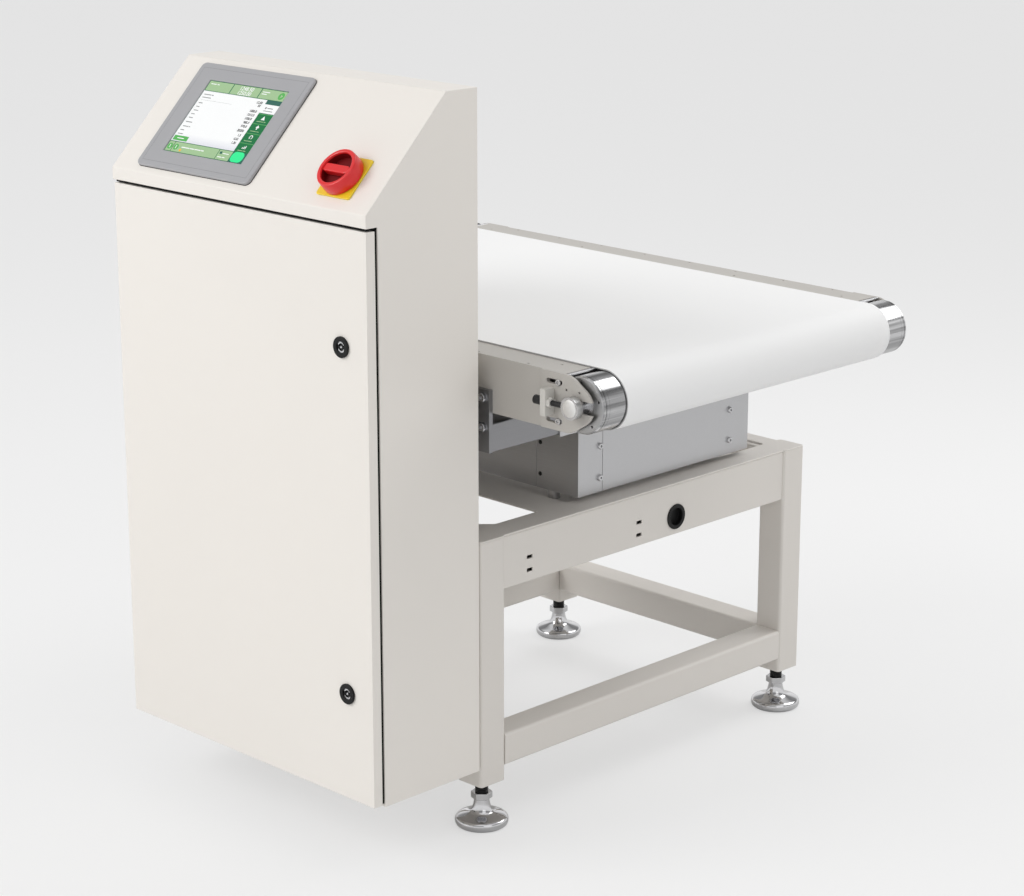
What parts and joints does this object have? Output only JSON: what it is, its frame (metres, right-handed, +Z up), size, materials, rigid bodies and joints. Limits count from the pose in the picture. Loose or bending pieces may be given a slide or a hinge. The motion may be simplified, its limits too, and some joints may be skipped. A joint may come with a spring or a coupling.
{
  "type": "checkweigher",
  "caption": "Checkweigher: belt conveyor on a sealed weigh-cell box, carried by a levelled steel stand with a control cabinet, touch panel and main switch.",
  "frame": {"origin": "on the floor under the middle of the machine's bounding box", "axes": "+Z up, +X along the belt from the driven drum to the tail drum, -Y towards the operator"},
  "size_m": [0.9866, 0.9635, 1.1015],
  "materials": {
    "stand_paint": "satin",
    "cabinet_paint": "satin",
    "conveyor_paint": "satin",
    "stainless": "brushed",
    "beam_steel": "brushed",
    "drum_steel": "polished",
    "foot_chrome": "polished",
    "zinc_plated": "satin",
    "cell_aluminium": "satin",
    "lock_insert": "satin",
    "black_plastic": "matte",
    "bezel_grey": "matte",
    "screen_glass": "gloss",
    "switch_yellow": "gloss",
    "switch_red": "gloss",
    "device_grey": "matte",
    "terminal_beige": "matte",
    "block_white": "satin",
    "belt_white": "satin",
    "gasket_rubber": "matte",
    "screw_dark": "satin"
  },
  "bodies": {
    "machine": {"leg_front_right": "stand_paint", "leg_front_left": "stand_paint", "leg_rear_right": "stand_paint", "leg_rear_left": "stand_paint", "upper_rail_right": "stand_paint", "upper_rail_left": "stand_paint", "upper_rail_front": "stand_paint", "upper_rail_rear": "stand_paint", "lower_side_rails": "stand_paint", "lower_cross_rails": "stand_paint", "top_plate": "stand_paint", "support_bars": "stand_paint", "rail_plugs": "black_plastic", "cabinet_sides": "cabinet_paint", "cabinet_back": "cabinet_paint", "cabinet_floor": "cabinet_paint", "cabinet_front": "cabinet_paint", "cabinet_hood": "cabinet_paint", "cabinet_standoffs": "stainless", "door_hinges": "stainless", "hmi_bezel": "bezel_grey", "hmi_glass": "screen_glass", "hmi_housing": "device_grey", "switch_plate": "switch_yellow", "switch_body": "black_plastic", "mounting_plate": "zinc_plated", "power_supply": "stainless", "weigh_controller": "device_grey", "drum_inverter": "device_grey", "terminal_strip": "terminal_beige", "cable_glands": "black_plastic", "box_base": "stainless", "box_shell": "stainless", "box_corner_covers": "stainless", "box_feet": "stainless", "box_screws": "stainless", "load_cell": "cell_aluminium", "carrier_post": "stainless", "load_carrier": "stainless", "cross_beams": "beam_steel", "side_frame_near": "conveyor_paint", "side_frame_far": "conveyor_paint", "slider_bed": "stainless", "nose_bars": "stainless", "belt": "belt_white", "drive_axle": "stainless", "bearing_plates": "conveyor_paint", "tension_blocks": "block_white", "conveyor_screws": "stainless"},
    "door": {"door": "cabinet_paint", "door_gasket": "gasket_rubber", "lock_housings": "black_plastic"},
    "lock_upper": {"lock_cam_upper": "lock_insert"},
    "lock_lower": {"lock_cam_lower": "lock_insert"},
    "knob": {"switch_knob": "switch_red"},
    "foot_fr": {"foot_front_right": "foot_chrome"},
    "foot_fl": {"foot_front_left": "foot_chrome"},
    "foot_rr": {"foot_rear_right": "foot_chrome"},
    "foot_rl": {"foot_rear_left": "foot_chrome"},
    "tail_carriage": {"tail_axle": "stainless", "tension_screws": "screw_dark"},
    "tail_roller": {"tail_drum": "drum_steel"},
    "drive_roller": {"drive_drum": "drum_steel"}
  },
  "joints": [
    {"name": "door_hinge", "type": "hinge", "parent": "machine", "child": "door", "pos_m": [-0.267, -0.47025, 0.515], "axis": [0, 0, -1], "range_deg": [0, 110]},
    {"name": "lock_upper_turn", "type": "hinge", "parent": "door", "child": "lock_upper", "pos_m": [0.223, -0.47825, 0.76382], "axis": [0, 1, 0], "range_deg": [0, 90]},
    {"name": "lock_lower_turn", "type": "hinge", "parent": "door", "child": "lock_lower", "pos_m": [0.223, -0.47825, 0.26222], "axis": [0, 1, 0], "range_deg": [0, 90]},
    {"name": "main_switch_turn", "type": "hinge", "parent": "machine", "child": "knob", "pos_m": [0.195, -0.44173, 0.98751], "axis": [0, -0.7118, 0.7024], "range_deg": [-90, 0]},
    {"name": "foot_fr_height", "type": "slide", "parent": "machine", "child": "foot_fr", "axis": [0, 0, 1], "range_m": [-0.03, 0.015]},
    {"name": "foot_fl_height", "type": "slide", "parent": "machine", "child": "foot_fl", "axis": [0, 0, 1], "range_m": [-0.03, 0.015]},
    {"name": "foot_rr_height", "type": "slide", "parent": "machine", "child": "foot_rr", "axis": [0, 0, 1], "range_m": [-0.03, 0.015]},
    {"name": "foot_rl_height", "type": "slide", "parent": "machine", "child": "foot_rl", "axis": [0, 0, 1], "range_m": [-0.03, 0.015]},
    {"name": "belt_tension", "type": "slide", "parent": "machine", "child": "tail_carriage", "axis": [1, 0, 0], "range_m": [-0.004, 0]},
    {"name": "tail_spin", "type": "hinge", "parent": "tail_carriage", "child": "tail_roller", "pos_m": [0.45, 0.09675, 0.68], "axis": [0, 1, 0], "continuous": true},
    {"name": "drive_spin", "type": "hinge", "parent": "machine", "child": "drive_roller", "pos_m": [-0.45, 0.09675, 0.68], "axis": [0, 1, 0], "continuous": true}
  ],
  "couplings": [
    {"joint": "tail_spin", "follows": "drive_spin", "ratio": 1}
  ]
}
